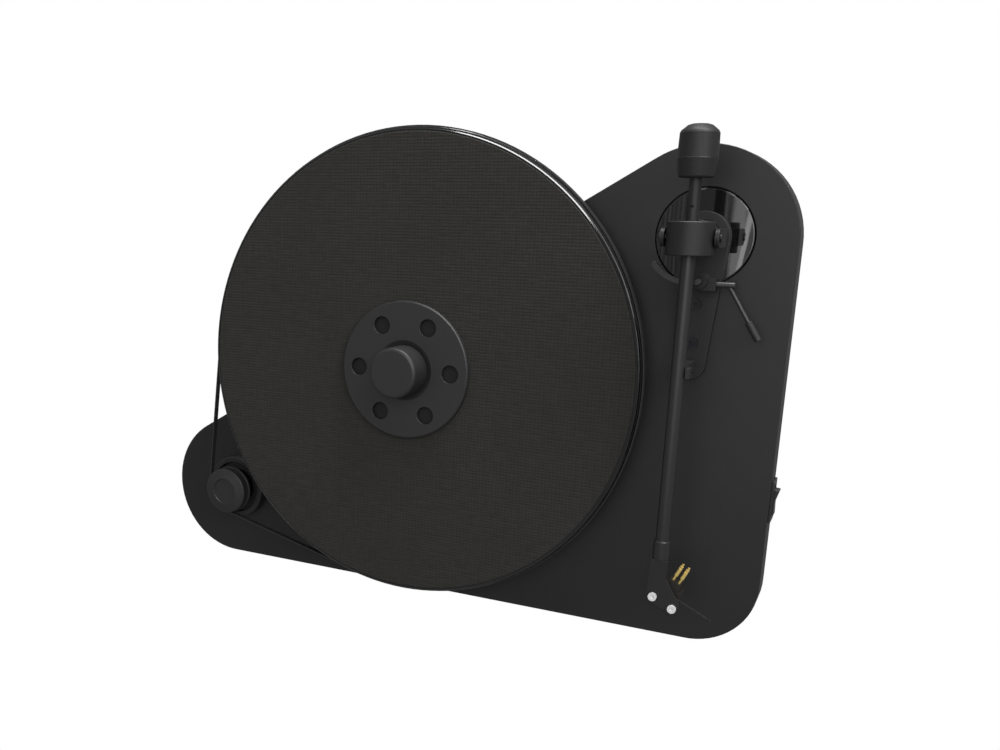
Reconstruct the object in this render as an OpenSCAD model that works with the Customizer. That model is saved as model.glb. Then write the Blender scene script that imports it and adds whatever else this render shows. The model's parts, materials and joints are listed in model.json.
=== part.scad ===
// Vertical belt-drive record player that hangs on a wall.
// Frame: X to the right, Y into the wall, Z up. The wall is the plane Y = 0, so
// everything lies at negative Y. The origin is the middle of the four wall screws.

/* [Plinth] */
// Corner radius beside the motor
motor_corner_r = 51; // [42:1:56]
// Corner radius beside the tonearm
arm_corner_r = 54; // [44:1:60]
// Corner radius at the bottom right
heel_r = 40; // [28:1:50]
// From the motor axis to the left edge
edge_left = 57; // [50:1:66]
// From the motor axis to the bottom edge
edge_bottom = 53; // [48:1:62]
// From the tonearm axis to the right edge
edge_right = 51; // [44:1:60]
// From the tonearm axis to the top edge
edge_top = 51.5; // [44:0.5:60]
// Thickness of the plinth board
plinth_t = 20; // [16:1:28]
// Space between the wall and the plinth
plinth_gap = 33; // [30:1:48]
// Wall thickness of the back cover
cover_wall = 2; // [1.6:0.1:3]

/* [Platter] */
// Radius of the platter
platter_r = 150.5; // [140:0.5:156]
// Thickness of the platter
platter_t = 14; // [10:0.5:20]
// Running gap between the platter and the plinth
platter_gap = 10; // [8:0.5:16]
// Width of the platter's bare rim around the mat
mat_rim = 2.7; // [0.5:0.1:12]
// Thickness of the mat
mat_t = 1; // [1:0.1:4]
// Radius of the record spindle
spindle_r = 3.55; // [3.5:0.05:3.6]
// Radius of the bearing shaft
shaft_r = 5; // [4:0.5:7]

/* [Clamp] */
// Radius of the clamp flange
clamp_r = 44.5; // [36:0.5:50]
// Thickness of the clamp flange
clamp_t = 4; // [3:0.5:8]
// Radius of the clamp knob
knob_r = 16.3; // [12:0.1:20]
// Height of the knob in front of the flange
knob_h = 17; // [14:0.5:26]
// Radius of the circle on which the finger holes lie
finger_circle_r = 32.4; // [28:0.1:36]
// Radius of one finger hole
finger_r = 5.7; // [3:0.1:6]
// Number of finger holes
finger_count = 6; // [3:1:8]
// Depth of the dish around the knob
dish_d = 1.6; // [0.8:0.1:2]

/* [Motor and belt] */
// Sideways place of the motor from the platter axis
motor_x = -147; // [-160:1:-145]
// Height of the motor from the platter axis
motor_z = -103; // [-115:1:-98]
// Radius of the motor can
motor_r = 19; // [16:0.5:24]
// Radius of the belt groove in the pulley
groove_r = 15.2; // [10:0.1:15.4]
// Radius of the pulley flanges
pulley_r = 16.5; // [16.5:0.1:18]
// Width of the belt
belt_w = 4; // [3:0.5:5]
// Thickness of the belt
belt_t = 0.8; // [0.6:0.1:1.5]

/* [Tonearm] */
// Sideways place of the tonearm pivot from the platter axis
arm_x = 174.5; // [170:0.5:186]
// Height of the tonearm pivot from the platter axis
arm_z = 88; // [80:1:100]
// Distance from the plinth to the middle of the arm tube
arm_lift = 42; // [40:0.5:50]
// Radius of the arm tube
tube_r = 3.75; // [3.2:0.05:4.5]
// Length of the arm tube below the pivot
tube_len = 178; // [168:1:186]
// Angle of the headshell to the arm tube
offset_angle = 25.5; // [18:0.5:28]
// Radius of the bearing collar
collar_r = 12.6; // [10:0.1:15]
// Height of the bearing collar
collar_h = 18; // [14:0.5:22]
// Radius of the counterweight
weight_r = 10.8; // [9:0.1:14]
// Length of the counterweight
weight_len = 27; // [22:0.5:36]
// Radius of the lift arc about the pivot
lift_r = 24; // [22:0.5:27]

/* [Wall fixing] */
// Sideways place of the wall bracket from the platter axis
bracket_x = 60; // [50:1:70]
// Height of the wall bracket from the platter axis
bracket_z = -45; // [-60:1:-43]
// Spacing of the wall screws across
wall_screw_dx = 110; // [80:5:130]
// Spacing of the wall screws up and down
wall_screw_dz = 36; // [28:1:42]
// Radius of the wall screw holes
wall_hole_r = 2.6; // [2:0.1:3.2]

/* [Hidden] */
$fn = 96;

fit = 0.3;                 // gap between parts of different bodies
run = 0.05;                // radial clearance of a running shaft
seat = 0.15;               // radial clearance of a part set into a board
lap = 0.01;                // straight sides lie this far inside the arcs that they join

// Depth stack, from the wall outwards
cover_back = -10;
plinth_back = -plinth_gap;
plinth_front = plinth_back - plinth_t;
platter_back = plinth_front - platter_gap;
platter_front = platter_back - platter_t;
mat_front = platter_front - mat_t;
mat_r = platter_r - mat_rim;
clamp_front = mat_front - clamp_t;
arm_y = plinth_front - arm_lift;

// Places of the platter, motor and tonearm axes in X and Z
spin_at = [-bracket_x, -bracket_z];
motor_at = spin_at + [motor_x, motor_z];
arm_at = spin_at + [arm_x, arm_z];

// Plinth outline
right_x = arm_at[0] + edge_right;
bottom_z = motor_at[1] - edge_bottom;
corners = [
    [motor_at + (motor_corner_r * [1, 1] - [edge_left, edge_bottom]), motor_corner_r],
    [[right_x - heel_r, bottom_z + heel_r], heel_r],
    [arm_at + [edge_right, edge_top] - arm_corner_r * [1, 1], arm_corner_r]
];
cover_inset = 9;

// Main bearing
housing_r = 11;
housing_flange_r = 20;
housing_flange_t = 3;
housing_back = plinth_back + 12;
hub_r = 26;
hub_t = 4;
hub_spigot_r = 12;
bush_r = 7.5;
bush_len = 9;
ball_r = 3;
cap_t = 2.5;

// Drive
belt_y = (platter_back + platter_front) / 2 - 0.5;
pulley_front = belt_y - 6;
pulley_back = belt_y + belt_w / 2 + 8.5;
hub_screw_y = pulley_back - 2;
shaft_motor_r = 1.6;
motor_len = 18;
motor_front = plinth_back + 2.5;
ring_r = 23;
ring_t = 8.5;
ring_bore_r = 12;
grommet_circle_r = motor_r + 6;

// Board and sockets
board_w = 88;
board_h = 44;
board_t = 1.6;
board_x = 0;
board_z = bottom_z + 61;
board_post_h = 5;
socket_x = 10;
socket_y = (plinth_back + cover_back) / 2;
socket_pitch = 22;
socket_r = 4.15;
socket_neck_r = 3.7;
inlet_r = 4.15;
earth_r = 2;
socket_len = 8;
socket_plate_w = 112;
cover_bottom = bottom_z + cover_inset;

// Power switch, in the right edge of the plinth
switch_z = -18;
switch_h = 25;
switch_w = 14.6;
switch_depth = 14;
bezel_t = 1.4;
rocker_h = 19;
rocker_w = 8.6;
rocker_angle = 7;
rocker_wall = 1.8;
rocker_pivot = 4;
rocker_pin_r = 1.2;
switch_y = (plinth_front + plinth_back) / 2;

// Tonearm
disc_r = 27.5;
disc_t = 2;
base_top_r = 14.4;
base_tip_r = 8;
base_len = 73;
base_t = 5;
pillar_r = 9.5;
yoke_reach = 16.4;
yoke_t = 3;
pillar_front = arm_y + yoke_reach + yoke_t + fit;
yoke_shaft_r = 4;
pivot_pin_r = 1.5;
cheek_gap = 0.5;
cheek_t = 2.4;
cheek_h = 10;
collar_low = -collar_h / 2 - 0.5;
collar_high = collar_low + collar_h;
stub_r = 3.2;
stub_len = 42;
weight_low = 31;
sleeve_r = 4.7;
sleeve_len = 11;
sleeve_low = -tube_len - 3;

// Headshell, measured from the middle of the two cartridge screws
shell_x = 3.8;
shell_z = sleeve_low - 25.5;
shell_w = 17.4;
shell_nose = 3.7;
shell_side = 4;
shell_elbow = 11.5;
screw_seat_r = 3.2;
screw_seat_d = 0.5;
shell_t = 3;
shell_front = arm_y - tube_r - 0.3;
shell_back = shell_front + shell_t;
cartridge_pitch = 12.7;
cartridge_w = 16.6;
cartridge_rear = 13.5;
cartridge_nose = 6;
cartridge_h = 10.5;
ear_t = 4;
plug_w = 7.4;
plug_len = 4.5;
stylus_reach = 9.5;
stylus_y = mat_front - 2.3;

// Cueing lift
lift_angle = 6;
lift_bar_w = 3;
lift_bar_t = 2.5;
lift_rod_r = 2;
lift_drop = 6;
lift_from = -52;
lift_to = 13;
bar_front = arm_y + tube_r + fit;
bar_back = bar_front + lift_bar_t;
lift_x = lift_r * sin(lift_angle);
lift_z = -lift_r * cos(lift_angle);
lever_y = plinth_front - base_t - 5.5;
lever_z = -26;
lever_r = 1.75;
lever_from = 6;
lever_to = 21;
rod_r = 1.1;
rod_root_x = 17.5;
rod_run = [13.5, -21.5];
grip_len = 12;
grip_r = 2;
rest_z = -73;
rest_gap = tube_r + fit;

// Wall fixing
bracket_w = 150;
bracket_h = 60;
bracket_t = 2.5;
lip_h = 14;
rail_h = 30;
rail_t = 2;
bumper_r = 8;
bumper_spots = [motor_at + [32, 0], [right_x - heel_r - 35, motor_at[1]]];
rail_screw_x = 60;
rail_screw_r = 1.95;
rail_low = bracket_h / 2 + 2;
rail_screw_z = rail_low + rail_h - 7;

// Solid rods along each axis, from one coordinate to another
module rod_x(r, from, to) {
    translate([from, 0, 0]) rotate([0, 90, 0]) cylinder(r = r, h = to - from);
}

module rod_y(r, from, to) {
    translate([0, from, 0]) rotate([-90, 0, 0]) cylinder(r = r, h = to - from);
}

module rod_z(r, from, to) {
    translate([0, 0, from]) cylinder(r = r, h = to - from);
}

// A flat outline in X and Z, extruded between two depths
module slab(front, back) {
    translate([0, back, 0]) rotate([90, 0, 0]) linear_extrude(back - front) children();
}

// A profile of [radius, depth] points turned about the Y axis
module turned_y(points) {
    rotate([-90, 0, 0]) rotate_extrude() polygon(points);
}

// A profile of [radius, height] points turned about the Z axis
module turned_z(points) {
    rotate_extrude() polygon(points);
}

module at_spindle() {
    translate([spin_at[0], 0, spin_at[1]]) children();
}

module at_motor() {
    translate([motor_at[0], 0, motor_at[1]]) children();
}

module at_arm() {
    translate([arm_at[0], 0, arm_at[1]]) children();
}

// The frame of the headshell: X across it, Z from the stylus back to the pivot
module at_shell() {
    at_arm() translate([shell_x, 0, shell_z]) rotate([0, offset_angle, 0]) children();
}

// A point in the headshell's frame, seen from the pivot
function from_shell(across, back) = [
    shell_x + across * cos(offset_angle) + back * sin(offset_angle),
    shell_z - across * sin(offset_angle) + back * cos(offset_angle)
];

// Outward unit normal of the outer tangent from circle a to circle b
function tangent_normal(a, b) = let (
    span = b[0] - a[0],
    u = span / norm(span),
    s = (a[1] - b[1]) / norm(span)
) s * u + sqrt(1 - s * s) * [u[1], -u[0]];

// The two ends of each outer tangent around a ring of circles
function tangent_points(ring) = [
    for (i = [0 : len(ring) - 1])
        let (a = ring[i], b = ring[(i + 1) % len(ring)], n = tangent_normal(a, b))
            for (c = [a, b]) c[0] + c[1] * n
];

// The shape of a tight band around a ring of circles
module banded(ring) {
    for (c = ring) translate(c[0]) circle(r = c[1]);
    polygon(tangent_points(shrink(ring, lap)));
}

function shrink(ring, by) = [for (c = ring) [c[0], c[1] - by]];

module plinth_outline(inset) {
    banded(shrink(corners, inset));
}

function belt_ring(extra) = [
    [spin_at, platter_r + fit + extra],
    [motor_at, groove_r + fit + extra]
];

// Places of the cover's fixing screws, inside the outline
cover_screw_inset = cover_inset + 8;
cover_screw_spots = [
    for (i = [0 : 2])
        let (a = corners[i], b = corners[(i + 1) % 3], n = tangent_normal(a, b))
            for (share = [0.08, 0.92])
                (a[0] + (a[1] - cover_screw_inset) * n) * (1 - share)
                    + (b[0] + (b[1] - cover_screw_inset) * n) * share
];

module plinth() {
    color([0.2, 0.2, 0.2]) difference() {
        slab(plinth_front, plinth_back) plinth_outline(0);
        at_spindle() rod_y(housing_r + seat, plinth_front - 1, plinth_back + 1);
        at_motor() rod_y(ring_bore_r + 1, plinth_front - 1, plinth_back + 1);
        at_arm() rod_y(disc_r + fit, plinth_front - 1, plinth_front + disc_t);
        at_arm() rod_y(pillar_r + seat, plinth_front - 1, plinth_back + 1);
        switch_pocket();
    }
}

module switch_pocket() {
    w = rocker_w + 2 * rocker_wall + 0.6;
    h = rocker_h + 2.6;
    translate([right_x - switch_depth - 1, switch_y - w / 2, switch_z - h / 2])
        cube([switch_depth + 2, w, h]);
}

module back_cover() {
    color([0.13, 0.13, 0.13]) difference() {
        union() {
            difference() {
                slab(plinth_back, cover_back) plinth_outline(cover_inset);
                slab(plinth_back - 1, cover_back - cover_wall) plinth_outline(cover_inset + cover_wall);
            }
            for (spot = cover_screw_spots)
                translate([spot[0], 0, spot[1]]) rod_y(4.5, plinth_back, cover_back - cover_wall);
        }
        for (spot = cover_screw_spots)
            translate([spot[0], 0, spot[1]]) rod_y(1.8, plinth_back - 1, cover_back + 1);
        for (x = [-1, 1])
            translate([x * rail_screw_x, 0, rail_screw_z])
                rod_y(rail_screw_r, cover_back - cover_wall - 1, cover_back + 1);
        translate([socket_x - socket_plate_w / 2 + 4, socket_y - 6, cover_bottom - 1])
            cube([socket_plate_w - 8, 12, cover_wall + 2]);
    }
}

module cover_screws() {
    color([0.3, 0.3, 0.32]) for (spot = cover_screw_spots)
        translate([spot[0], 0, spot[1]]) difference() {
            union() {
                rod_y(1.7, plinth_back + 0.5, cover_back);
                turned_y([[0, cover_back], [3.2, cover_back], [2.4, cover_back + 1.6], [0, cover_back + 1.6]]);
            }
            socket_cross(cover_back + 1.6);
        }
}

// A cross slot sunk into a screw head whose face is at the given depth
module socket_cross(face) {
    for (turn = [0, 90]) rotate([0, turn, 0])
        translate([-1.4, face - 0.9, -0.3]) cube([2.8, 2, 0.6]);
}

module wall_bracket() {
    lip_back = -3.6;
    color([0.16, 0.16, 0.16]) difference() {
        union() {
            translate([-bracket_w / 2, -bracket_t, -bracket_h / 2])
                cube([bracket_w, bracket_t, bracket_h]);
            translate([-bracket_w / 2, lip_back - bracket_t, bracket_h / 2 - bracket_t])
                cube([bracket_w, -lip_back + bracket_t, bracket_t]);
            translate([-bracket_w / 2, lip_back - bracket_t, bracket_h / 2 - bracket_t])
                cube([bracket_w, bracket_t, lip_h]);
        }
        for (x = [-1, 1], z = [-1, 1])
            translate([x * wall_screw_dx / 2, 0, z * wall_screw_dz / 2]) rod_y(wall_hole_r, -9, 1);
    }
}

module hanger_rail() {
    lip_top = bracket_h / 2 - bracket_t + lip_h;
    tongue_back = -0.8;
    color([0.16, 0.16, 0.16]) difference() {
        union() {
            translate([-bracket_w / 2, cover_back, rail_low])
                cube([bracket_w, rail_t, rail_h]);
            translate([-bracket_w / 2, cover_back, lip_top])
                cube([bracket_w, tongue_back - cover_back, rail_t]);
            translate([-bracket_w / 2, tongue_back - rail_t, rail_low])
                cube([bracket_w, rail_t, lip_top - rail_low + rail_t]);
        }
        for (x = [-1, 1])
            translate([x * rail_screw_x, 0, rail_screw_z])
                rod_y(rail_screw_r + seat, cover_back - 1, cover_back + rail_t + 1);
    }
}

module rail_screws() {
    head_y = cover_back + rail_t;
    color([0.3, 0.3, 0.32]) for (x = [-1, 1])
        translate([x * rail_screw_x, 0, rail_screw_z]) difference() {
            union() {
                rod_y(rail_screw_r, cover_back - cover_wall - 4, head_y);
                turned_y([[0, head_y], [3.6, head_y], [2.8, head_y + 2], [0, head_y + 2]]);
            }
            socket_cross(head_y + 2);
        }
}

module wall_bumpers() {
    color([0.08, 0.08, 0.08]) for (spot = bumper_spots)
        translate([spot[0], 0, spot[1]])
            turned_y([[0, cover_back], [bumper_r, cover_back], [bumper_r - 1.5, -1], [bumper_r - 2.5, 0], [0, 0]]);
}

module bearing_housing() {
    color([0.25, 0.25, 0.26]) at_spindle() difference() {
        union() {
            rod_y(housing_r, plinth_front, housing_back);
            rod_y(housing_flange_r, plinth_front - housing_flange_t, plinth_front);
        }
        rod_y(bush_r, plinth_front - housing_flange_t - 1, housing_back + 1);
    }
}

module bearing_nut() {
    color([0.45, 0.45, 0.46]) at_spindle() difference() {
        slab(plinth_back, plinth_back + 5) circle(r = housing_r + 5, $fn = 6);
        rod_y(housing_r, plinth_back - 1, plinth_back + 6);
    }
}

module bearing_bushes() {
    color([0.65, 0.48, 0.25]) at_spindle() {
        for (front = [plinth_front - housing_flange_t + 1, housing_back - bush_len - cap_t - ball_r])
            difference() {
                rod_y(bush_r, front, front + bush_len);
                rod_y(shaft_r + run, front - 1, front + bush_len + 1);
            }
    }
}

module thrust_ball() {
    color([0.8, 0.8, 0.82]) at_spindle() translate([0, housing_back - cap_t - ball_r, 0]) sphere(r = ball_r);
}

module bearing_cap() {
    color([0.25, 0.25, 0.26]) at_spindle() rod_y(bush_r, housing_back - cap_t, housing_back);
}

module drive_motor() {
    color([0.35, 0.35, 0.36]) at_motor() difference() {
        union() {
            rod_y(motor_r, motor_front, motor_front + motor_len - 1);
            rod_y(motor_r - 3, motor_front + motor_len - 1, motor_front + motor_len);
            rod_y(4.5, motor_front - 4, motor_front);
        }
        rod_y(shaft_motor_r + run, motor_front - 5, motor_front + 8);
    }
}

module motor_plate() {
    plate_t = 2.2;
    color([0.5, 0.5, 0.5]) at_motor() difference() {
        slab(plinth_back + 0.3, plinth_back + 0.3 + plate_t) difference() {
            circle(r = grommet_circle_r + 6);
            for (turn = [0 : 120 : 240]) rotate(turn) translate([grommet_circle_r, 0]) circle(r = 3.4);
            circle(r = 4.8);
        }
    }
}

module motor_grommets() {
    color([0.07, 0.07, 0.07]) at_motor() for (turn = [0 : 120 : 240])
        rotate([0, turn, 0]) translate([grommet_circle_r, 0, 0]) difference() {
            union() {
                rod_y(3.3, plinth_back, plinth_back + 4.5);
                rod_y(4.8, plinth_back + 2.5, plinth_back + 4.5);
            }
            rod_y(1.7, plinth_back - 1, plinth_back + 6);
        }
}

module motor_screws() {
    color([0.6, 0.6, 0.6]) at_motor() for (turn = [0 : 120 : 240])
        rotate([0, turn, 0]) translate([grommet_circle_r, 0, 0]) {
            rod_y(1.6, plinth_back, plinth_back + 4.5);
            rod_y(3, plinth_back + 4.5, plinth_back + 6.5);
        }
}

module pulley_ring() {
    color([0.17, 0.17, 0.17]) at_motor()
        turned_y([[ring_bore_r, plinth_front], [ring_bore_r, plinth_front - 3], [ring_r - 4, plinth_front - 3],
            [ring_r - 4, plinth_front - ring_t], [ring_r - 0.8, plinth_front - ring_t],
            [ring_r, plinth_front - ring_t + 0.8], [ring_r, plinth_front]]);
}

module drive_belt() {
    color([0.06, 0.06, 0.06]) slab(belt_y - belt_w / 2, belt_y + belt_w / 2) difference() {
        banded(belt_ring(belt_t));
        banded(belt_ring(0));
    }
}

module speed_board() {
    board_y = cover_back - cover_wall - board_post_h;
    color([0.05, 0.25, 0.12]) translate([board_x, 0, board_z]) {
        difference() {
            translate([-board_w / 2, board_y - board_t, -board_h / 2]) cube([board_w, board_t, board_h]);
            for (x = [-1, 1], z = [-1, 1])
                translate([x * (board_w / 2 - 5), 0, z * (board_h / 2 - 5)]) rod_y(1.6, board_y - 3, board_y + 1);
        }
        for (x = [-24, -10]) translate([x, 0, 8]) rod_y(4, board_y - board_t - 9, board_y - board_t);
        translate([4, board_y - board_t - 2, -8]) cube([14, 2, 10]);
        translate([24, board_y - board_t - 6, -12]) cube([8, 6, 16]);
    }
}

module board_posts() {
    board_y = cover_back - cover_wall - board_post_h;
    color([0.75, 0.65, 0.35]) translate([board_x, 0, board_z])
        for (x = [-1, 1], z = [-1, 1])
            translate([x * (board_w / 2 - 5), 0, z * (board_h / 2 - 5)]) {
                rod_y(2.6, board_y, board_y + board_post_h);
                rod_y(1.45, board_y - board_t, board_y);
                rod_y(2.4, board_y - board_t - 1.5, board_y - board_t);
            }
}

module at_sockets(index) {
    translate([socket_x + (index - 2) * socket_pitch, socket_y, cover_bottom]) children();
}

module socket_plate() {
    color([0.1, 0.1, 0.1]) difference() {
        translate([socket_x - socket_plate_w / 2, socket_y - 8, cover_bottom - 1.5])
            cube([socket_plate_w, 16, 1.5]);
        for (index = [0, 1, 3, 4]) at_sockets(index) rod_z(socket_hole_r[index], -3, 1);
    }
}

socket_hole_r = [socket_neck_r, socket_neck_r, 0, inlet_r, earth_r + seat];

module phono_sockets() {
    color([0.8, 0.65, 0.3]) for (index = [0, 1]) at_sockets(index) difference() {
        union() {
            rod_z(socket_r, -1.5 - socket_len, -1.5);
            rod_z(socket_neck_r, -1.5, 6);
            rod_z(6, 0, 2);
        }
        rod_z(3.1, -2 - socket_len, 5);
    }
}

module phono_insulators() {
    color([0.85, 0.85, 0.82]) for (index = [0, 1]) at_sockets(index) difference() {
        rod_z(3.1, -socket_len, 5);
        rod_z(1.6, -3 - socket_len, 4);
    }
}

module power_inlet() {
    color([0.12, 0.12, 0.12]) at_sockets(3) {
        difference() {
            union() {
                rod_z(inlet_r, -2.5, 0);
                translate([-5, -5.5, 0]) cube([10, 11, 13]);
            }
            rod_z(2.75, -4, 9);
        }
        rod_z(1, -1.5, 9.5);
    }
}

module earth_terminal() {
    color([0.75, 0.65, 0.35]) at_sockets(4) {
        rod_z(earth_r, -9, 5);
        translate([0, 0, -6.5]) rod_z(4.5, 0, 5);
        rod_z(4, 0, 2);
    }
}

module switch_frame() {
    color([0.06, 0.06, 0.06]) difference() {
        union() {
            translate([right_x, switch_y - switch_w / 2, switch_z - switch_h / 2])
                cube([bezel_t, switch_w, switch_h]);
            translate([right_x - switch_depth, switch_y - rocker_w / 2 - rocker_wall, switch_z - rocker_h / 2 - 1])
                cube([switch_depth, rocker_w + 2 * rocker_wall, rocker_h + 2]);
        }
        translate([right_x - switch_depth + 2, switch_y - rocker_w / 2 - fit, switch_z - rocker_h / 2])
            cube([switch_depth, rocker_w + 2 * fit, rocker_h]);
        translate([right_x - rocker_pivot, switch_y, switch_z])
            rod_y(rocker_pin_r + run, -rocker_w / 2 - 1.2, rocker_w / 2 + 1.2);
    }
}

// The rocker's cap is a shallow V that tips about a pin just inside the plinth's edge
module switch_rocker() {
    half = rocker_h / 2 - 1.8;
    color([0.05, 0.05, 0.05]) translate([right_x - rocker_pivot, switch_y, switch_z]) rotate([0, rocker_angle, 0]) {
        rotate([90, 0, 0]) translate([0, 0, -rocker_w / 2]) linear_extrude(rocker_w)
            polygon([[-5, -2.5], [-5, 2.5], [-1, half], [7.4, half], [6.2, 0], [7.4, -half], [-1, -half]]);
        rod_y(rocker_pin_r, -rocker_w / 2 - 1.1, rocker_w / 2 + 1.1);
    }
}

module arm_disc() {
    color([0.1, 0.1, 0.11]) at_arm() difference() {
        turned_y([[0, plinth_front], [disc_r - 0.6, plinth_front], [disc_r, plinth_front + 0.6],
            [disc_r, plinth_front + disc_t], [0, plinth_front + disc_t]]);
        rod_y(pillar_r + seat, plinth_front - 1, plinth_front + disc_t + 1);
    }
}

base_ring = [
    [[0, -base_len], base_tip_r],
    [[0, 0], base_top_r]
];

module arm_base() {
    color([0.18, 0.18, 0.18]) at_arm() difference() {
        slab(plinth_front - base_t, plinth_front) banded(base_ring);
        rod_y(pillar_r + seat, plinth_front - base_t - 1, plinth_front + 1);
        for (z = [-38, -60]) translate([0, 0, z]) rod_y(1.9, plinth_front - base_t - 1, plinth_front + 1);
        translate([lift_x, 0, lift_z]) rod_y(lift_rod_r + 0.4, plinth_front - base_t - 1, plinth_front + 1);
    }
}

module arm_base_screws() {
    face = plinth_front - base_t;
    color([0.15, 0.15, 0.15]) at_arm() for (z = [-38, -60]) translate([0, 0, z]) difference() {
        union() {
            rod_y(1.8, face, plinth_front);
            rod_y(3, face - 2, face);
        }
        slab(face - 3, face - 0.6) circle(r = 1.5, $fn = 6);
    }
}

module arm_pillar() {
    color([0.15, 0.15, 0.15]) at_arm() difference() {
        union() {
            rod_y(pillar_r, pillar_front, plinth_back);
            rod_y(pillar_r + 3, plinth_back, plinth_back + 4);
        }
        rod_y(yoke_shaft_r + 2.5, pillar_front - 1, plinth_back + 5);
    }
}

module arm_bushes() {
    bush = 6;
    color([0.65, 0.65, 0.67]) at_arm() for (front = [pillar_front + 0.5, plinth_back - bush])
        difference() {
            rod_y(yoke_shaft_r + 2.5, front, front + bush);
            rod_y(yoke_shaft_r + run, front - 1, front + bush + 1);
        }
}

module arm_rest() {
    saddle_front = arm_y + tube_r + fit;
    post_w = 5;
    guard_t = 2.4;
    color([0.12, 0.12, 0.12]) at_arm() translate([0, 0, rest_z - 3]) {
        translate([-post_w / 2, saddle_front, 0]) cube([post_w, plinth_front - base_t - saddle_front, 6]);
        translate([-post_w / 2, saddle_front, 0]) cube([post_w / 2 + rest_gap + guard_t, guard_t, 6]);
        translate([rest_gap, arm_y - 2, 0]) cube([guard_t, saddle_front + guard_t - arm_y + 2, 6]);
    }
}

module lift_housing() {
    face = plinth_front - base_t;
    color([0.16, 0.16, 0.16]) at_arm() difference() {
        union() {
            translate([lift_x, 0, lift_z]) rod_y(lift_rod_r + 2.4, face - 13, face);
            translate([lift_x, face - 9, lever_z - 3.4]) cube([lever_from + 5 - lift_x, 9, 6.8]);
        }
        translate([lift_x, 0, lift_z]) rod_y(lift_rod_r + run, face - 14, face + 1);
        translate([0, lever_y, lever_z]) rod_x(lever_r + run, lever_from - 0.2, lever_from + 6);
    }
}

module lift_bar() {
    color([0.2, 0.2, 0.2]) at_arm() {
        slab(bar_front, bar_back) {
            intersection() {
                difference() {
                    circle(r = lift_r + lift_bar_w / 2);
                    circle(r = lift_r - lift_bar_w / 2);
                }
                polygon([[0, 0], for (a = [lift_from, (lift_from + lift_to) / 2, lift_to])
                    2 * lift_r * [sin(a), -cos(a)]]);
            }
            for (a = [lift_from, lift_to])
                translate(lift_r * [sin(a), -cos(a)]) circle(r = lift_bar_w / 2);
        }
        translate([lift_x, 0, lift_z]) rod_y(lift_rod_r, bar_back, plinth_front - lift_drop - 2);
    }
}

module lift_lever() {
    color([0.3, 0.3, 0.3]) at_arm() translate([0, lever_y, lever_z]) {
        rod_x(lever_r, lever_from, lever_to);
        lever_rod(0, norm(rod_run), rod_r);
    }
}

// A rod along the lever's own line, between two distances from its root
module lever_rod(from, to, r) {
    translate([rod_root_x, 0, 0]) rotate([0, atan2(rod_run[0], rod_run[1]), 0]) rod_z(r, from, to);
}

module lift_grip() {
    start = norm(rod_run) - 2;
    color([0.12, 0.12, 0.12]) at_arm() translate([0, lever_y, lever_z]) difference() {
        lever_rod(start, start + grip_len, grip_r);
        lever_rod(start - 1, start + 2, rod_r);
    }
}

module platter() {
    chamfer = 0.8;
    color([0.1, 0.1, 0.1]) at_spindle() difference() {
        turned_y([[0, platter_front], [platter_r - chamfer, platter_front], [platter_r, platter_front + chamfer],
            [platter_r, platter_back - chamfer], [platter_r - chamfer, platter_back], [0, platter_back]]);
        rod_y(hub_spigot_r + seat, platter_front - 1, platter_back + 1);
    }
}

module platter_mat() {
    color([0.19, 0.18, 0.17]) at_spindle() difference() {
        rod_y(mat_r, mat_front, platter_front);
        rod_y(spindle_r + 0.25, mat_front - 1, platter_front + 1);
    }
}

module platter_hub() {
    color([0.3, 0.3, 0.31]) at_spindle() difference() {
        union() {
            rod_y(hub_r, platter_back, platter_back + hub_t);
            rod_y(hub_spigot_r, platter_front, platter_back);
        }
        rod_y(shaft_r, platter_front + 4, platter_back + hub_t + 1);
        rod_y(spindle_r, platter_front - 1, platter_front + 5);
    }
}

module platter_spindle() {
    tip = clamp_front - knob_h + 5;
    shaft_back = housing_back - cap_t - 2 * ball_r - run;
    color([0.7, 0.7, 0.72]) at_spindle() {
        rod_y(shaft_r, platter_front + 4, shaft_back);
        turned_y([[0, tip], [spindle_r - 1, tip], [spindle_r, tip + 1.5], [spindle_r, platter_front + 4],
            [0, platter_front + 4]]);
    }
}

module clamp_flange() {
    edge = 0.8;
    dish_r = knob_r + 3.2;
    flare = (dish_r - knob_r) / dish_d;
    color([0.22, 0.22, 0.22]) at_spindle() difference() {
        turned_y([[0, mat_front], [clamp_r, mat_front], [clamp_r, clamp_front + edge],
            [clamp_r - edge, clamp_front], [0, clamp_front]]);
        turned_y([[0, clamp_front - 1], [dish_r + flare, clamp_front - 1], [knob_r, clamp_front + dish_d],
            [0, clamp_front + dish_d]]);
        for (i = [0 : finger_count - 1])
            rotate([0, i * 360 / finger_count, 0]) translate([finger_circle_r, 0, 0])
                rod_y(finger_r, clamp_front - 1, mat_front + 1);
        rod_y(clamp_r - 3, mat_front - 0.5, mat_front + 1);
        rod_y(spindle_r + run, clamp_front - 2, mat_front + 1);
    }
}

module clamp_knob() {
    front = clamp_front - knob_h;
    back = clamp_front + dish_d;
    color([0.22, 0.22, 0.22]) at_spindle() difference() {
        turned_y([[0, front], [knob_r - 1.8, front], [knob_r - 0.5, front + 0.8], [knob_r, front + 2.2],
            [knob_r, back], [0, back]]);
        rod_y(spindle_r + run, front + 4, back + 1);
    }
}

module clamp_pad() {
    color([0.08, 0.08, 0.08]) at_spindle() difference() {
        rod_y(clamp_r - 3.2, mat_front - 0.5, mat_front);
        rod_y(spindle_r + 0.3, mat_front - 1, mat_front + 1);
    }
}

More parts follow.
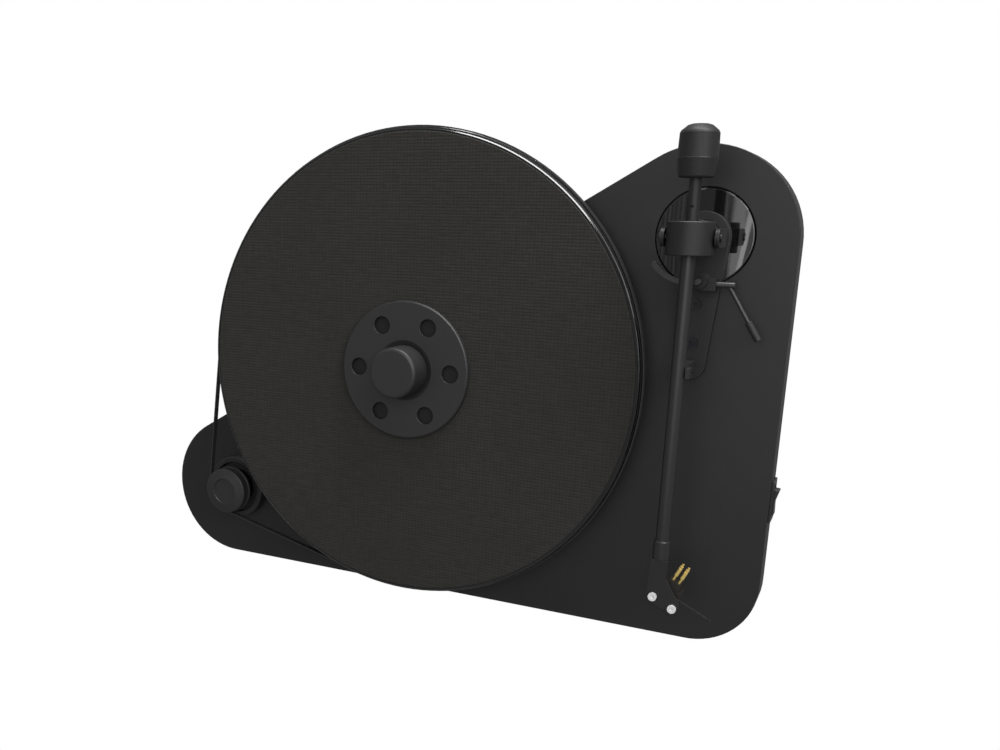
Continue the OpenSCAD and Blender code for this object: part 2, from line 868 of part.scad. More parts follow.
module pulley() {
    f = pulley_front;
    groove_front = belt_y - belt_w / 2 - 0.5;
    groove_back = belt_y + belt_w / 2 + 0.5;
    color([0.2, 0.2, 0.2]) at_motor() difference() {
        turned_y([[0, f + 0.8], [8.8, f + 0.8], [9.2, f], [10, f], [pulley_r - 0.7, f + 1.4], [pulley_r, f + 2],
            [pulley_r, groove_front], [groove_r, groove_front], [groove_r, groove_back],
            [pulley_r - 0.2, groove_back], [pulley_r + 0.4, groove_back + 0.6], [pulley_r + 0.4, groove_back + 1.6],
            [pulley_r - 2, groove_back + 1.6], [pulley_r - 2, groove_back + 2.6], [pulley_r - 1, groove_back + 2.6],
            [pulley_r - 1, groove_back + 3.8], [10, groove_back + 3.8], [10, pulley_back], [0, pulley_back]]);
        rod_y(shaft_motor_r, f + 3, pulley_back + 1);
        translate([0, hub_screw_y, 0]) rod_z(1.25, 1, 11);
    }
}

module motor_shaft() {
    color([0.75, 0.75, 0.76]) at_motor() rod_y(shaft_motor_r, pulley_front + 3, motor_front + 7.5);
}

module pulley_screw() {
    color([0.2, 0.2, 0.2]) at_motor() translate([0, hub_screw_y, 0])
        rod_z(1.25, shaft_motor_r, 9);
}

module arm_yoke() {
    inner = collar_r + cheek_gap;
    base_front = arm_y + yoke_reach;
    color([0.14, 0.14, 0.14]) at_arm() difference() {
        union() {
            rod_y(pillar_r, base_front, base_front + yoke_t);
            translate([-inner - cheek_t, base_front, -cheek_h / 2])
                cube([2 * (inner + cheek_t), yoke_t, cheek_h]);
            for (side = [0, 1]) mirror([side, 0, 0])
                translate([inner, arm_y, 0]) {
                    translate([0, 0, -cheek_h / 2]) cube([cheek_t, yoke_reach + yoke_t, cheek_h]);
                    rod_x(cheek_h / 2, 0, cheek_t);
                }
            rod_y(yoke_shaft_r, base_front + yoke_t, plinth_back + 1);
        }
        translate([0, arm_y, 0]) rod_x(pivot_pin_r + 0.7, -inner - cheek_t - 1, inner + cheek_t + 1);
    }
}

module pivot_screws() {
    inner = collar_r + cheek_gap;
    color([0.7, 0.7, 0.72]) at_arm() for (side = [0, 1]) mirror([side, 0, 0])
        translate([0, arm_y, 0]) difference() {
            union() {
                rod_x(pivot_pin_r, collar_r - 4, inner);
                rod_x(pivot_pin_r + 0.7, inner, inner + cheek_t + 0.8);
            }
            translate([inner + cheek_t + 0.2, -3, -0.3]) cube([2, 6, 0.6]);
        }
}

module arm_collar() {
    edge = 0.5;
    color([0.24, 0.24, 0.24]) at_arm() translate([0, arm_y, 0]) difference() {
        turned_z([[0, collar_low], [collar_r - edge, collar_low], [collar_r, collar_low + edge],
            [collar_r, collar_high - edge], [collar_r - edge, collar_high], [0, collar_high]]);
        rod_z(tube_r, collar_low - 1, 0);
        rod_z(stub_r, 0, collar_high + 1);
        for (side = [-1, 1]) translate([side * collar_r, 0, 0]) rod_x(pivot_pin_r + run, -4.4, 4.4);
    }
}

module arm_tube() {
    color([0.2, 0.2, 0.2]) at_arm() translate([0, arm_y, 0]) difference() {
        rod_z(tube_r, -tube_len - 3, 0);
        rod_z(tube_r - 0.7, -tube_len - 4, -8);
    }
}

module arm_stub() {
    color([0.25, 0.25, 0.25]) at_arm() translate([0, arm_y, 0]) difference() {
        rod_z(stub_r, 0, stub_len);
        translate([0, 0, 16]) rod_y(0.9, -stub_r - 1, -1.2);
    }
}

module tube_sleeve() {
    color([0.2, 0.2, 0.2]) at_arm() translate([0, arm_y, 0]) difference() {
        turned_z([[0, sleeve_low], [sleeve_r, sleeve_low], [sleeve_r, sleeve_low + sleeve_len - 0.8],
            [sleeve_r - 0.6, sleeve_low + sleeve_len], [0, sleeve_low + sleeve_len]]);
        rod_z(tube_r, sleeve_low - 1, sleeve_low + sleeve_len + 1);
    }
}

module headshell() {
    nose_left = from_shell(-shell_w / 2, -shell_nose);
    nose_right = from_shell(shell_w / 2, -shell_nose);
    side_right = from_shell(shell_w / 2, shell_side);
    color([0.18, 0.18, 0.18]) difference() {
        union() {
            at_arm() slab(shell_front, shell_back)
                polygon([[-sleeve_r, sleeve_low], nose_left, nose_right, side_right,
                    [sleeve_r, sleeve_low - shell_elbow], [sleeve_r, sleeve_low]]);
            at_arm() translate([0, arm_y, 0]) rod_z(tube_r - 0.7, sleeve_low - 7, sleeve_low + 9);
        }
        at_shell() for (side = [-1, 1]) translate([side * cartridge_pitch / 2, 0, 0]) {
            rod_y(1.35, shell_front - 1, shell_back + 1);
            rod_y(screw_seat_r, shell_front - 1, shell_front + screw_seat_d);
        }
    }
}

module finger_lift() {
    lift_back = shell_side + 1;
    lift_h = 1.6;
    reach = 27;
    color([0.25, 0.25, 0.25]) at_shell() translate([0, 0, lift_back]) {
        translate([shell_w / 2 - 4, shell_back, -lift_h / 2]) cube([reach - shell_w / 2 + 4, 1, lift_h]);
        translate([reach, shell_back + 0.5, 0]) rod_z(0.9, -lift_h / 2, lift_h / 2);
    }
}

module cartridge() {
    body_back = shell_back + 1 + cartridge_h;
    color([0.1, 0.1, 0.1]) at_shell() difference() {
        union() {
            translate([-cartridge_w / 2, shell_back, -cartridge_nose])
                cube([cartridge_w, ear_t, cartridge_nose + 4]);
            translate([-cartridge_w / 2 + 1.5, shell_back + 1.2, -cartridge_nose])
                cube([cartridge_w - 3, cartridge_h - 1.2, cartridge_rear + cartridge_nose - plug_len]);
            translate([-plug_w / 2, shell_back + 1.2, -cartridge_nose])
                cube([plug_w, cartridge_h - 1.2, cartridge_rear + cartridge_nose]);
            translate([-4.5, shell_back + cartridge_h - 4, -stylus_reach + 1])
                cube([9, 3.5, stylus_reach]);
            translate([0, 0, -stylus_reach]) rod_y(0.35, shell_back + cartridge_h - 1, stylus_y);
            translate([0, shell_back + cartridge_h - 0.6, 0]) rod_z(0.6, -stylus_reach - 0.35, -stylus_reach + 4);
        }
        for (side = [-1, 1]) translate([side * cartridge_pitch / 2, 0, 0]) {
            rod_y(1.35, shell_back - 1, body_back + 1);
            rod_y(2.7, shell_back + ear_t, body_back + 1);
        }
    }
}

module cartridge_pins() {
    color([0.85, 0.68, 0.28]) at_shell()
        for (x = [-1.9, 1.9], depth = [3.4, 8.2])
            translate([x, shell_back + depth, cartridge_rear]) {
                rod_z(0.65, 0, 9.5);
                rod_z(1.05, 3, 8);
            }
}

module cartridge_screws() {
    color([0.85, 0.85, 0.86]) at_shell() for (side = [-1, 1]) translate([side * cartridge_pitch / 2, 0, 0])
        difference() {
            union() {
                rod_y(1.3, shell_front, shell_back + 4.6);
                rod_y(2.5, shell_front - 1.1, shell_front + screw_seat_d);
                rod_y(2.3, shell_back + ear_t, shell_back + ear_t + 1.4);
            }
            slab(shell_front - 2, shell_front - 0.4) circle(r = 1.1, $fn = 6);
        }
}

module counterweight() {
    top = weight_low + weight_len;
    waist = weight_low + weight_len * 0.36;
    color([0.25, 0.25, 0.25]) at_arm() translate([0, arm_y, 0]) difference() {
        turned_z([[0, weight_low], [weight_r - 2.2, weight_low], [weight_r - 1.6, weight_low + 0.6],
            [weight_r, waist], [weight_r - 0.25, waist + 0.3], [weight_r - 0.6, top - 4.5],
            [weight_r - 1.3, top - 3.2], [weight_r - 4.5, top - 0.6], [weight_r - 6.5, top], [0, top]]);
        rod_z(stub_r + 1.4, weight_low - 1, top - 3);
    }
}

module counterweight_bush() {
    color([0.05, 0.05, 0.05]) at_arm() translate([0, arm_y, 0]) difference() {
        rod_z(stub_r + 1.4, weight_low, stub_len - 1);
        rod_z(stub_r + run, weight_low - 1, stub_len + 1);
    }
}

plinth();
back_cover();
cover_screws();
hanger_rail();
rail_screws();
wall_bracket();
wall_bumpers();
bearing_housing();
bearing_nut();
bearing_bushes();
thrust_ball();
bearing_cap();
drive_motor();
motor_plate();
motor_grommets();
motor_screws();
pulley_ring();
drive_belt();
speed_board();
board_posts();
socket_plate();
phono_sockets();
phono_insulators();
power_inlet();
earth_terminal();
switch_frame();
switch_rocker();
arm_disc();
arm_base();
arm_base_screws();
arm_pillar();
arm_bushes();
arm_rest();
lift_housing();
lift_bar();
lift_lever();
lift_grip();
platter();
platter_mat();
platter_hub();
platter_spindle();
clamp_flange();
clamp_knob();
clamp_pad();
pulley();
motor_shaft();
pulley_screw();
arm_yoke();
pivot_screws();
arm_collar();
arm_tube();
arm_stub();
tube_sleeve();
headshell();
finger_lift();
cartridge();
cartridge_pins();
cartridge_screws();
counterweight();
counterweight_bush();
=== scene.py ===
import json
import math

import bmesh
import bpy
import numpy as np
from mathutils import Matrix, Vector

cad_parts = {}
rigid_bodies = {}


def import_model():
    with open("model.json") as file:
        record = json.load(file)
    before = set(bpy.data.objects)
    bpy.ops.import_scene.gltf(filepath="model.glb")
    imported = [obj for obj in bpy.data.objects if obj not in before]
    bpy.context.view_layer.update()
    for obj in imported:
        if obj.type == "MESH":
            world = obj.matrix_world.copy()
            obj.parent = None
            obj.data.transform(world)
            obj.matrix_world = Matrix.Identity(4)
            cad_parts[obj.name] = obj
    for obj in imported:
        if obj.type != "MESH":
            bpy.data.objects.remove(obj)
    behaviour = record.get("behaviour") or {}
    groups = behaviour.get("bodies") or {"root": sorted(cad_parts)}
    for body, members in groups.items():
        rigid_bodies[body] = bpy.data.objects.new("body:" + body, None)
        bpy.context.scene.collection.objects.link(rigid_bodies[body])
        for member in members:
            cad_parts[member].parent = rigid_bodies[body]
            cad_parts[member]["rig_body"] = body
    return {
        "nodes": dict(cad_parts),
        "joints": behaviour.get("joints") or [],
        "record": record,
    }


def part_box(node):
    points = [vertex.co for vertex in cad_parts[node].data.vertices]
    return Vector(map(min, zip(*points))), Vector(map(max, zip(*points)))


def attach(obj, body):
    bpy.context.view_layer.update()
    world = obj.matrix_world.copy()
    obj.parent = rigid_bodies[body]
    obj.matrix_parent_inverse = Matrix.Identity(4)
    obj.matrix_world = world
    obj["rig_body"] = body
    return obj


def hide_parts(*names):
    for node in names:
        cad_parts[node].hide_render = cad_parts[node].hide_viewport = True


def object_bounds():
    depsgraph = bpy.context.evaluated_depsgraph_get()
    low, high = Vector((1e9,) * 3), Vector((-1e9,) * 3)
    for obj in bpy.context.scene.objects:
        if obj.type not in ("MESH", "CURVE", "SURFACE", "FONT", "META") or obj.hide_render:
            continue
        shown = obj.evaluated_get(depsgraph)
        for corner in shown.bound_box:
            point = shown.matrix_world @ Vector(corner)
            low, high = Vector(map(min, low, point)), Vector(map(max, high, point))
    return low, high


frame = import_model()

# Finishes, rolled edges, light and camera for a wall-hung belt-drive record player. Lengths are in
# metres. X runs to the right, Y towards the wall and Z up.

CAD_BOX = [list(corner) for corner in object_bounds()]
SCENE = bpy.context.scene
JOINTS = {joint["name"]: joint for joint in frame["joints"]}
SLOT_OF = {part["node"]: part["material_slot"] for part in frame["record"]["subparts"]}

SPIN = Vector(JOINTS["platter_spin"]["pos_m"])
MOTOR = Vector(JOINTS["pulley_spin"]["pos_m"])
ARM = Vector(JOINTS["arm_swing"]["pos_m"])
MIDDLE = (Vector(CAD_BOX[0]) + Vector(CAD_BOX[1])) / 2

# The camera: where it stands, how it is turned in radians, and its lens and sensor in millimetres
EYE = Vector((0.2209, -0.6704, 0.1398))
YAW, PITCH, ROLL = -0.4828, -0.2428, 0.0185
LENS, SENSOR = 36.53, 36
SHIFT = (0.1363, 0.0948)


# ---------------------------------------------------------------- finishes

class Paint:
    """One procedural finish on Object coordinates. Its methods add nodes and return the result's socket."""

    def __init__(self, name):
        self.material = bpy.data.materials.new(name)
        self.material.use_nodes = True
        self.tree = self.material.node_tree
        self.shader = self.tree.nodes["Principled BSDF"]
        self.place = self.tree.nodes.new("ShaderNodeTexCoord").outputs["Object"]

    def put(self, socket, value):
        """Wires a socket to another one, or sets it to a plain value."""
        if isinstance(value, bpy.types.NodeSocket):
            self.tree.links.new(value, socket)
        elif value is not None:
            socket.default_value = value

    def node(self, kind, inputs, **settings):
        made = self.tree.nodes.new(kind)
        for key, value in settings.items():
            setattr(made, key, value)
        for key, value in inputs.items():
            self.put(made.inputs[key], value)
        return made

    def stretched(self, by):
        inputs = {0: self.place, 1: by}
        return self.node("ShaderNodeVectorMath", inputs, operation="MULTIPLY").outputs[0]

    def noise(self, scale, detail=2.0, stretch=None, where=None):
        """Noise from 0 to 1. Its grains are about 1/scale wide, or 1/(scale * stretch) along each axis."""
        if where is None:
            where = self.stretched(stretch) if stretch else self.place
        inputs = {"Vector": where, "Scale": scale, "Detail": detail}
        return self.node("ShaderNodeTexNoise", inputs).outputs["Fac"]

    def math(self, operation, a, b=None):
        return self.node("ShaderNodeMath", {0: a, 1: b}, operation=operation).outputs[0]

    def wave(self, value, pitch, shift=None):
        """sin(2 pi value / pitch + shift)"""
        turns = self.math("MULTIPLY", value, 2 * math.pi / pitch)
        return self.math("SINE", turns if shift is None else self.math("ADD", turns, shift))

    def span(self, value, low, high, to_low, to_high):
        """Maps low..high to to_low..to_high, and holds the ends."""
        inputs = {"Value": value, "From Min": low, "From Max": high,
                  "To Min": to_low, "To Max": to_high}
        return self.node("ShaderNodeMapRange", inputs).outputs["Result"]

    def mix(self, factor, a, b):
        """From colour a at 0 to colour b at 1."""
        a, b = ((*tone, 1) if isinstance(tone, tuple) else tone for tone in (a, b))
        return self.node("ShaderNodeMix", {0: factor, 6: a, 7: b}, data_type="RGBA").outputs[2]

    def radius(self, centre, mask=(1, 0, 1)):
        """Distance from the line through centre along the axis that mask leaves out."""
        def vector(operation, *inputs):
            return self.node("ShaderNodeVectorMath", dict(enumerate(inputs)), operation=operation)
        away = vector("SUBTRACT", self.place, tuple(centre))
        flattened = vector("MULTIPLY", away.outputs[0], mask)
        return vector("LENGTH", flattened.outputs[0]).outputs["Value"]

    def bump(self, height, distance, below=None):
        inputs = {"Strength": 1.0, "Distance": distance, "Height": height, "Normal": below}
        return self.node("ShaderNodeBump", inputs).outputs["Normal"]

    def done(self, colour, roughness, normal=None, **sockets):
        """Fills the shader's own sockets. An underscore in a keyword stands for a space."""
        self.put(self.shader.inputs["Base Color"], colour)
        self.put(self.shader.inputs["Roughness"], roughness)
        self.put(self.shader.inputs["Normal"], normal)
        for key, value in sockets.items():
            self.put(self.shader.inputs[key.replace("_", " ")], value)
        return self.material


def shade(colour, by):
    """The colour, darker where by is under 1 and lighter where it is over 1."""
    return tuple(min(1.0, c * by) for c in colour)


DUST = (0.16, 0.16, 0.155)


def coated(name, colour, rough=(0.4, 0.5), specular=0.4, grain=1400, depth=1.2e-5, cloud=0.14,
           metallic=0.0):
    """Paint, lacquer, rubber or moulded plastic: slow clouds, a fine skin of grains, and faint dust."""
    p = Paint(name)
    slow = p.noise(9, 3)
    fine = p.noise(grain, 2)
    dust = p.noise(2600, 0)
    body = p.mix(p.span(slow, 0.3, 0.7, 0, 1), shade(colour, 1 - cloud), shade(colour, 1 + cloud))
    grained = p.mix(p.span(fine, 0.35, 0.65, 0, 0.35), body, shade(colour, 0.72))
    dusty = p.mix(p.span(dust, 0.72, 0.80, 0, 0.10), grained, DUST)
    gloss = p.span(p.math("ADD", slow, fine), 0.7, 1.3, *rough)
    return p.done(dusty, gloss, p.bump(fine, depth), Specular_IOR_Level=specular, Metallic=metallic)


def turned(name, colour, centre, mask=(1, 0, 1), rough=(0.3, 0.4), specular=0.5, metallic=0.0,
           pitch=0.0005, depth=4e-6):
    """A lathe-turned part: rings about its own axis, sin(2 pi r / pitch) plus noise that only r moves."""
    p = Paint(name)
    r = p.radius(centre, mask)
    ring = p.node("ShaderNodeCombineXYZ", {0: r}).outputs[0]
    uneven = p.noise(3200, 3, where=ring)
    cut = p.math("ADD", p.span(p.wave(r, pitch), -1, 1, 0, 0.5), uneven)
    slow = p.noise(40, 2)
    body = p.mix(p.span(cut, 0.3, 1.1, 0, 1), shade(colour, 0.86), shade(colour, 1.14))
    clouded = p.mix(p.span(slow, 0.35, 0.65, 0, 0.2), body, shade(colour, 0.75))
    gloss = p.span(p.math("ADD", slow, uneven), 0.7, 1.3, *rough)
    return p.done(clouded, gloss, p.bump(cut, depth), Specular_IOR_Level=specular, Metallic=metallic)


def brushed(name, colour, stretch, rough=(0.25, 0.4), metallic=1.0, depth=4e-6):
    """Drawn or brushed stock: noise pulled out along one axis, with slow stains over it."""
    p = Paint(name)
    lines = p.noise(1500, 3, stretch=stretch)
    slow = p.noise(60, 3)
    body = p.mix(p.span(lines, 0.3, 0.7, 0, 1), shade(colour, 0.85), shade(colour, 1.1))
    stained = p.mix(p.span(slow, 0.4, 0.7, 0, 0.25), body, shade(colour, 0.7))
    gloss = p.span(p.math("ADD", lines, slow), 0.7, 1.3, *rough)
    return p.done(stained, gloss, p.bump(lines, depth), Metallic=metallic)


WEAVE_X, WEAVE_Z = 0.0023, 0.0019  # from thread to thread, across and up


def woven(name, dark, light):
    """Linen: an even weave, sin(2 pi x / WEAVE_X) and sin(2 pi z / WEAVE_Z), whose threads wander and
    swell with noise that is pulled out along each thread's own run."""
    p = Paint(name)
    swell_x = p.noise(1, stretch=(520, 90, 90))
    swell_z = p.noise(1, stretch=(90, 90, 620))
    along = p.node("ShaderNodeSeparateXYZ", {0: p.place}).outputs
    wave_x = p.wave(along["X"], WEAVE_X, p.math("MULTIPLY", swell_x, 5.0))
    wave_z = p.wave(along["Z"], WEAVE_Z, p.math("MULTIPLY", swell_z, 5.0))
    even = p.math("ADD", p.span(wave_x, -1, 1, 0, 0.32), p.span(wave_z, -1, 1, 0, 0.5))
    uneven = p.math("ADD", p.span(swell_x, 0.3, 0.7, 0, 0.30), p.span(swell_z, 0.3, 0.7, 0, 0.45))
    height = p.math("ADD", even, uneven)
    fibre = p.noise(4200)
    slow = p.noise(14, 3)
    body = p.mix(p.span(height, 0.25, 1.25, 0, 1), dark, light)
    fuzzy = p.mix(p.span(fibre, 0.55, 0.8, 0, 0.3), body, shade(light, 1.5))
    clouded = p.mix(p.span(slow, 0.35, 0.7, 0, 0.25), fuzzy, shade(dark, 0.9))
    normal = p.bump(fibre, 3e-5, p.bump(height, 1.3e-4))
    return p.done(clouded, p.span(fibre, 0.3, 0.7, 0.82, 0.95), normal, Specular_IOR_Level=0.22,
                  Sheen_Weight=0.05)


def glossy(name, colour):
    """Poured gloss black: nearly a mirror, with faint wiping marks that change only the roughness."""
    p = Paint(name)
    wipe = p.noise(90, 4, stretch=(1, 1, 0.25))
    speck = p.noise(3000, 0)
    body = p.mix(p.span(speck, 0.74, 0.8, 0, 0.3), colour, (0.12, 0.12, 0.12))
    wavy = p.noise(45, 1)
    return p.done(body, p.span(wipe, 0.35, 0.7, 0.012, 0.040), p.bump(wavy, 1.2e-5), IOR=1.8)


def circuit(name):
    """Green solder resist over copper: thin traces where a stepped wave crosses its middle."""
    p = Paint(name)
    inputs = {"Vector": p.place, "Scale": 90.0, "Distortion": 6.0}
    stepped = p.node("ShaderNodeTexWave", inputs).outputs["Fac"]
    trace = p.span(stepped, 0.46, 0.54, 0, 1)
    body = p.mix(trace, (0.012, 0.085, 0.030), (0.020, 0.140, 0.055))
    return p.done(body, p.span(p.noise(700), 0.3, 0.7, 0.3, 0.45), p.bump(trace, 2e-5))


BLACK = (0.0160, 0.0160, 0.0162)
ALONG_X, ALONG_Y, ALONG_Z = (0.04, 1, 1), (1, 0.1, 1), (1, 1, 0.04)

# Per material slot: how the finish is made, and with what
FINISHES = {
    "black_lacquer": (coated, dict(colour=BLACK, rough=(0.42, 0.50), specular=0.34, grain=1500,
        depth=1.0e-5)),
    "black_steel": (coated, dict(colour=(0.020, 0.020, 0.021), rough=(0.38, 0.52), grain=1900,
        depth=3e-5)),
    "black_zinc_screw": (brushed, dict(colour=(0.05, 0.05, 0.054), stretch=ALONG_Y,
        rough=(0.25, 0.42))),
    "black_rubber": (coated, dict(colour=(0.013, 0.013, 0.013), rough=(0.65, 0.8), specular=0.3,
        grain=2400, depth=3e-5)),
    "black_anodised": (turned, dict(colour=(0.022, 0.022, 0.024), centre=SPIN,
        rough=(0.30, 0.42))),
    "plain_steel": (brushed, dict(colour=(0.46, 0.46, 0.47), stretch=ALONG_X)),
    "bright_steel": (turned, dict(colour=(0.62, 0.62, 0.63), centre=SPIN, metallic=1.0,
        rough=(0.14, 0.24))),
    "sintered_bronze": (coated, dict(colour=(0.34, 0.20, 0.09), rough=(0.4, 0.55), metallic=1.0,
        grain=5200, depth=3e-5)),
    "motor_steel": (turned, dict(colour=(0.40, 0.40, 0.41), centre=MOTOR, metallic=1.0,
        rough=(0.3, 0.45))),
    "black_moulding": (coated, dict(colour=(0.016, 0.016, 0.016), rough=(0.48, 0.6), grain=3400,
        depth=3e-5)),
    "belt_rubber": (coated, dict(colour=(0.018, 0.018, 0.018), rough=(0.45, 0.6), specular=0.5,
        grain=3000)),
    "board_green": (circuit, dict()),
    "plain_brass": (brushed, dict(colour=(0.60, 0.42, 0.16), stretch=ALONG_Y)),
    "gold_contact": (brushed, dict(colour=(0.80, 0.60, 0.20), stretch=ALONG_Z, rough=(0.2, 0.3),
        metallic=0.45)),
    "white_moulding": (coated, dict(colour=(0.62, 0.61, 0.58), rough=(0.4, 0.5), grain=2600)),
    "switch_plastic": (coated, dict(colour=(0.014, 0.014, 0.015), rough=(0.28, 0.38), specular=0.5,
        grain=2600)),
    "gloss_black": (glossy, dict(colour=(0.006, 0.006, 0.0065))),
    "arm_satin_black": (turned, dict(colour=(0.014, 0.014, 0.015), centre=ARM, rough=(0.42, 0.52),
        specular=0.36)),
    "lift_satin_black": (coated, dict(colour=(0.018, 0.018, 0.019), rough=(0.3, 0.4),
        specular=0.5)),
    "lever_steel": (brushed, dict(colour=(0.055, 0.055, 0.057), stretch=ALONG_Z,
        rough=(0.32, 0.44), metallic=0.6)),
    "platter_black": (turned, dict(colour=(0.010, 0.010, 0.0105), centre=SPIN, rough=(0.13, 0.19),
        specular=0.6)),
    "mat_weave": (woven, dict(dark=(0.0188, 0.0181, 0.0165), light=(0.0318, 0.0306, 0.0279))),
    "clamp_satin_black": (turned, dict(colour=(0.020, 0.020, 0.021), centre=SPIN,
        rough=(0.38, 0.48))),
    "pulley_satin_black": (turned, dict(colour=(0.020, 0.020, 0.021), centre=MOTOR,
        rough=(0.46, 0.56), specular=0.4)),
    "tube_black": (coated, dict(colour=(0.018, 0.018, 0.019), rough=(0.30, 0.40), specular=0.5,
        grain=2200)),
    "shell_black": (coated, dict(colour=(0.014, 0.014, 0.0145), rough=(0.40, 0.50), grain=2400)),
    "cartridge_plastic": (coated, dict(colour=(0.017, 0.0150, 0.0125), rough=(0.35, 0.45),
        grain=3200)),
    "polished_screw": (brushed, dict(colour=(0.93, 0.93, 0.94), stretch=ALONG_Y, rough=(0.2, 0.3),
        metallic=0.35)),
    "weight_black": (turned, dict(colour=(0.018, 0.018, 0.019), centre=ARM, mask=(1, 1, 0),
        rough=(0.44, 0.54), specular=0.3)),
}
MATERIALS = {slot: make(slot, **settings) for slot, (make, settings) in FINISHES.items()}

for name, node in frame["nodes"].items():
    for holder in node.material_slots:
        holder.link = "OBJECT"
        holder.material = MATERIALS[SLOT_OF[name]]


# ---------------------------------------------------------------- rolled edges

SHARP = math.radians(24)  # edges sharper than this stay edges and are rolled
PLANE = math.radians(0.3)  # faces nearer to one plane than this are joined
WELD = 2e-6  # corners nearer than this are one


def smooth_object(name, points, faces, slot):
    """A new object, smooth but for the edges sharper than SHARP, in the finish of its slot."""
    mesh = bpy.data.meshes.new(name)
    mesh.from_pydata(points, [], faces)
    mesh.polygons.foreach_set("use_smooth", np.ones(len(faces), bool))
    mesh.set_sharp_from_angle(angle=SHARP)
    mesh.materials.append(MATERIALS[slot])
    piece = bpy.data.objects.new(name, mesh)
    SCENE.collection.objects.link(piece)
    return piece


def rolled(name, width):
    """A copy of a CAD node with its edges rolled over to the given width, so that they catch light.
    Split corners are welded and triangles in one plane are joined first."""
    work = bmesh.new()
    work.from_mesh(frame["nodes"][name].data)
    bmesh.ops.remove_doubles(work, verts=work.verts, dist=WELD)
    bmesh.ops.dissolve_limit(work, angle_limit=PLANE, verts=work.verts, edges=work.edges)
    work.verts.index_update()
    points = [vertex.co[:] for vertex in work.verts]
    faces = [[vertex.index for vertex in face.verts] for face in work.faces]
    work.free()
    piece = smooth_object(name + "_rolled", points, faces, SLOT_OF[name])
    bevel = piece.modifiers.new("roll", "BEVEL")
    bevel.width = width
    bevel.segments = 2
    bevel.limit_method = "ANGLE"
    bevel.angle_limit = SHARP
    bevel.harden_normals = True
    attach(piece, frame["nodes"][name]["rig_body"])
    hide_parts(name)


ROLLS = {
    "plinth": 0.0008, "back_cover": 0.0008, "wall_bracket": 0.0006, "hanger_rail": 0.0005,
    "platter": 0.0006, "platter_mat": 0.0005, "clamp_flange": 0.0006, "clamp_knob": 0.0005,
    "pulley_ring": 0.0005, "arm_disc": 0.0006, "arm_base": 0.0004, "arm_yoke": 0.0003,
    "arm_collar": 0.0004, "arm_tube": 0.0002, "tube_sleeve": 0.0003, "headshell": 0.0004,
    "finger_lift": 0.0002, "cartridge": 0.0003, "counterweight": 0.0004, "lift_housing": 0.0004,
    "lift_bar": 0.0003, "lift_lever": 0.0002, "lift_grip": 0.0003, "arm_rest": 0.0003,
    "switch_frame": 0.0003, "switch_rocker": 0.0003,
}
for name, width in ROLLS.items():
    rolled(name, width)


# ---------------------------------------------------------------- the bead round the mat

def bead(name, body, slot, axis, profile, steps=320):
    """A turned ring: every profile point (r, y) goes round the axis as (x0 + r cos a, y, z0 + r sin a),
    and the profile closes on itself. Its points run anticlockwise in (r, y), so the faces look out."""
    r, y = np.array(profile).T
    turn = np.arange(steps) * 2 * np.pi / steps
    grid = np.stack([axis.x + np.outer(np.cos(turn), r), np.broadcast_to(y, (steps, len(r))),
                     axis.z + np.outer(np.sin(turn), r)], axis=-1)
    count = len(r)
    i, j = np.meshgrid(np.arange(steps), np.arange(count), indexing="ij")
    here, there = i * count, (i + 1) % steps * count
    beyond = (j + 1) % count
    quads = np.stack([here + j, here + beyond, there + beyond, there + j], axis=-1)
    piece = smooth_object(name, grid.reshape(-1, 3).tolist(), quads.reshape(-1, 4).tolist(), slot)
    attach(piece, body)


# The polished bead stands on the platter's rim. It leans towards the mat and is rooted in the platter.
PLATTER_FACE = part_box("platter")[0].y
PLATTER_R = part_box("platter")[1].x - SPIN.x
BEAD_IN, BEAD_CREST, BEAD_OUT = PLATTER_R - 0.00185, PLATTER_R - 0.00160, PLATTER_R - 0.00070
bead("rim_bead", "platter", "platter_black", SPIN, [
    (BEAD_IN, PLATTER_FACE - 0.0004), (BEAD_CREST, PLATTER_FACE - 0.00050),
    (BEAD_OUT, PLATTER_FACE + 0.0004), (BEAD_OUT, PLATTER_FACE + 0.0009),
    (BEAD_IN, PLATTER_FACE + 0.0002)])


# ---------------------------------------------------------------- stage, light and camera

def lit(name, strength_camera, strength_other):
    """An even surface of one strength to the camera and another to everything else."""
    material = bpy.data.materials.new(name)
    material.use_nodes = True
    nodes, wire = material.node_tree.nodes, material.node_tree.links.new
    nodes.clear()
    path = nodes.new("ShaderNodeLightPath")
    strength = nodes.new("ShaderNodeMapRange")
    strength.inputs["To Min"].default_value = strength_other
    strength.inputs["To Max"].default_value = strength_camera
    glow = nodes.new("ShaderNodeEmission")
    glow.inputs["Color"].default_value = (1, 1, 1, 1)
    wire(path.outputs["Is Camera Ray"], strength.inputs["Value"])
    wire(strength.outputs["Result"], glow.inputs["Strength"])
    wire(glow.outputs[0], nodes.new("ShaderNodeOutputMaterial").inputs["Surface"])
    return material


def flat(name, corners, material):
    """One flat face of the stage."""
    mesh = bpy.data.meshes.new(name)
    mesh.from_pydata([tuple(corner) for corner in corners], [], [tuple(range(len(corners)))])
    mesh.materials.append(material)
    thing = bpy.data.objects.new(name, mesh)
    SCENE.collection.objects.link(thing)
    return thing


CARDS_Y = -1.253  # where the cards stand, in front of the player


def mirror_card(name, low, high, strength, depth=0.0, slant=0.0):
    """An upright card that only mirror reflections can see. low and high are its corners in X and Z,
    and its top edge lies slant to the right of its bottom edge."""
    y = CARDS_Y + depth
    corners = [(low[0], y, low[1]), (high[0], y, low[1]),
               (high[0] + slant, y, high[1]), (low[0] + slant, y, high[1])]
    card = flat(name, corners, lit(name, 0, strength))
    card.visible_camera = card.visible_diffuse = card.visible_shadow = card.visible_transmission = False
    return card


